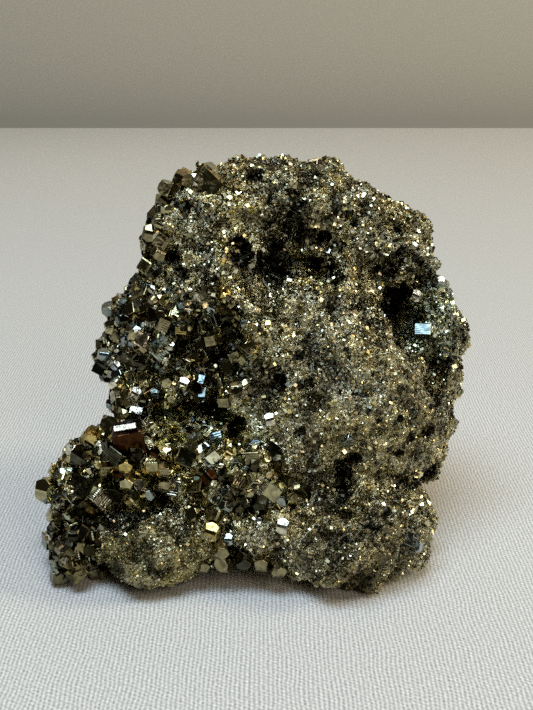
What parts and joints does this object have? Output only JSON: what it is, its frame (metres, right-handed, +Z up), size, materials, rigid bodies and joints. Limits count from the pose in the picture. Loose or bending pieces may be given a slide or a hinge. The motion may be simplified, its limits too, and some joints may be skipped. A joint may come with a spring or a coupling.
{
  "type": "pyrite specimen",
  "caption": "Mineral specimen of intergrown pyrite: a lumpy granular mass with crystal-lined vugs, resting on its broken base.",
  "frame": {"origin": "on the ground at the middle of the bounding box of the specimen", "axes": "+X to the right along the longest side, +Y to the back, +Z up"},
  "size_m": [0.0787, 0.0635, 0.0699],
  "materials": {
    "pyrite": "natural crystal faces, metallic and pale brass-yellow, dulled by a granular crust"
  },
  "bodies": {
    "root": {"pyrite_specimen": "pyrite"}
  },
  "joints": []
}
